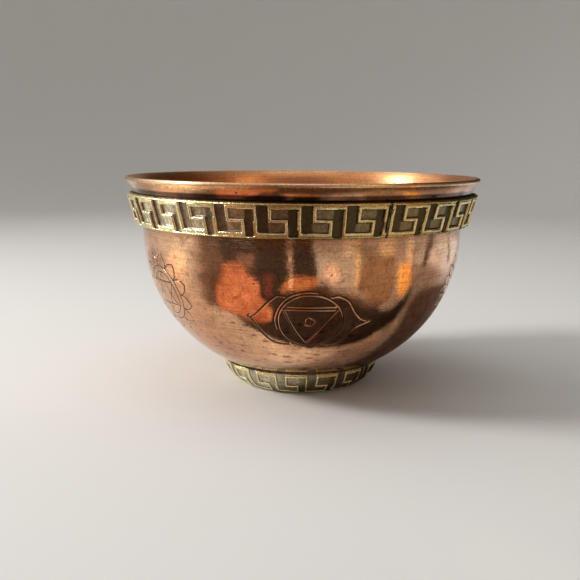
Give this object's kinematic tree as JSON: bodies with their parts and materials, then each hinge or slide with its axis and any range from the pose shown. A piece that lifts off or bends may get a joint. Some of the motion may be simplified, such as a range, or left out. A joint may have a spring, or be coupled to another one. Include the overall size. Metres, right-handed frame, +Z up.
{
  "type": "offering bowl",
  "caption": "Round footed copper offering bowl with a flared lip, an embossed brass key band round its neck and a dished brass foot ring.",
  "frame": {"origin": "on the axis of the bowl, in the plane that the foot stands on", "axes": "+Z up along the axis of the bowl, -Y to the front, where the third eye figure is engraved"},
  "size_m": [0.076, 0.076, 0.045],
  "materials": {
    "copper": "polished copper sheet, brushed round the bowl and lightly tarnished",
    "brass": "embossed brass, worn bright on the raised key and dark in the recesses",
    "solder": "dull grey tin solder"
  },
  "bodies": {
    "root": {"bowl_shell": "copper", "rim_band": "brass", "rim_band_solder": "solder", "rim_seam_solder": "solder", "foot_ring": "brass", "foot_ring_solder": "solder", "foot_seam_solder": "solder"}
  },
  "joints": []
}
